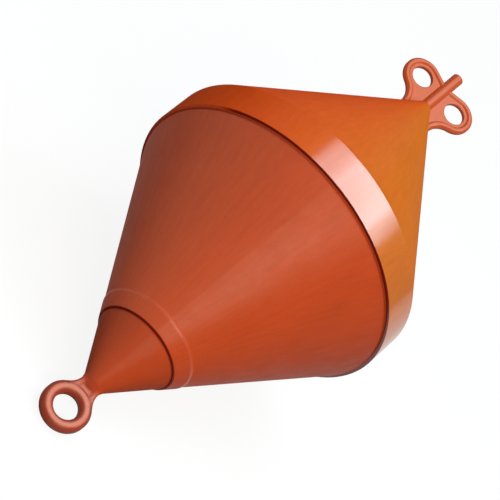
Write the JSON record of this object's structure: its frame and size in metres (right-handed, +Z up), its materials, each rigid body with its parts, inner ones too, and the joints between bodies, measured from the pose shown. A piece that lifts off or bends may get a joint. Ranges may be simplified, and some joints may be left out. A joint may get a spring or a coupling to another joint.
{
  "type": "biconical marker buoy",
  "caption": "Biconical plastic marker buoy of lapped cone shells, with a mooring eye on its nose and two eyes beside a post on its top, lying on its side.",
  "frame": {"origin": "on the floor, below the middle of the buoy's bounding box", "axes": "+Z up from the floor it lies on; +X along the floor from the mooring eye toward the top eyes; the buoy's own axis rises 26.5 degrees from +X, and the eyes lie level along Y"},
  "size_m": [0.5838, 0.32, 0.3038],
  "materials": {
    "lower_plastic": "satin moulded red-orange",
    "upper_plastic": "satin moulded orange",
    "nose_plastic": "satin moulded red-orange",
    "eye_plastic": "satin moulded orange"
  },
  "bodies": {
    "root": {"lower_shell": "lower_plastic", "upper_shell": "upper_plastic", "nose_eye": "nose_plastic", "top_eyes": "eye_plastic"}
  },
  "joints": []
}
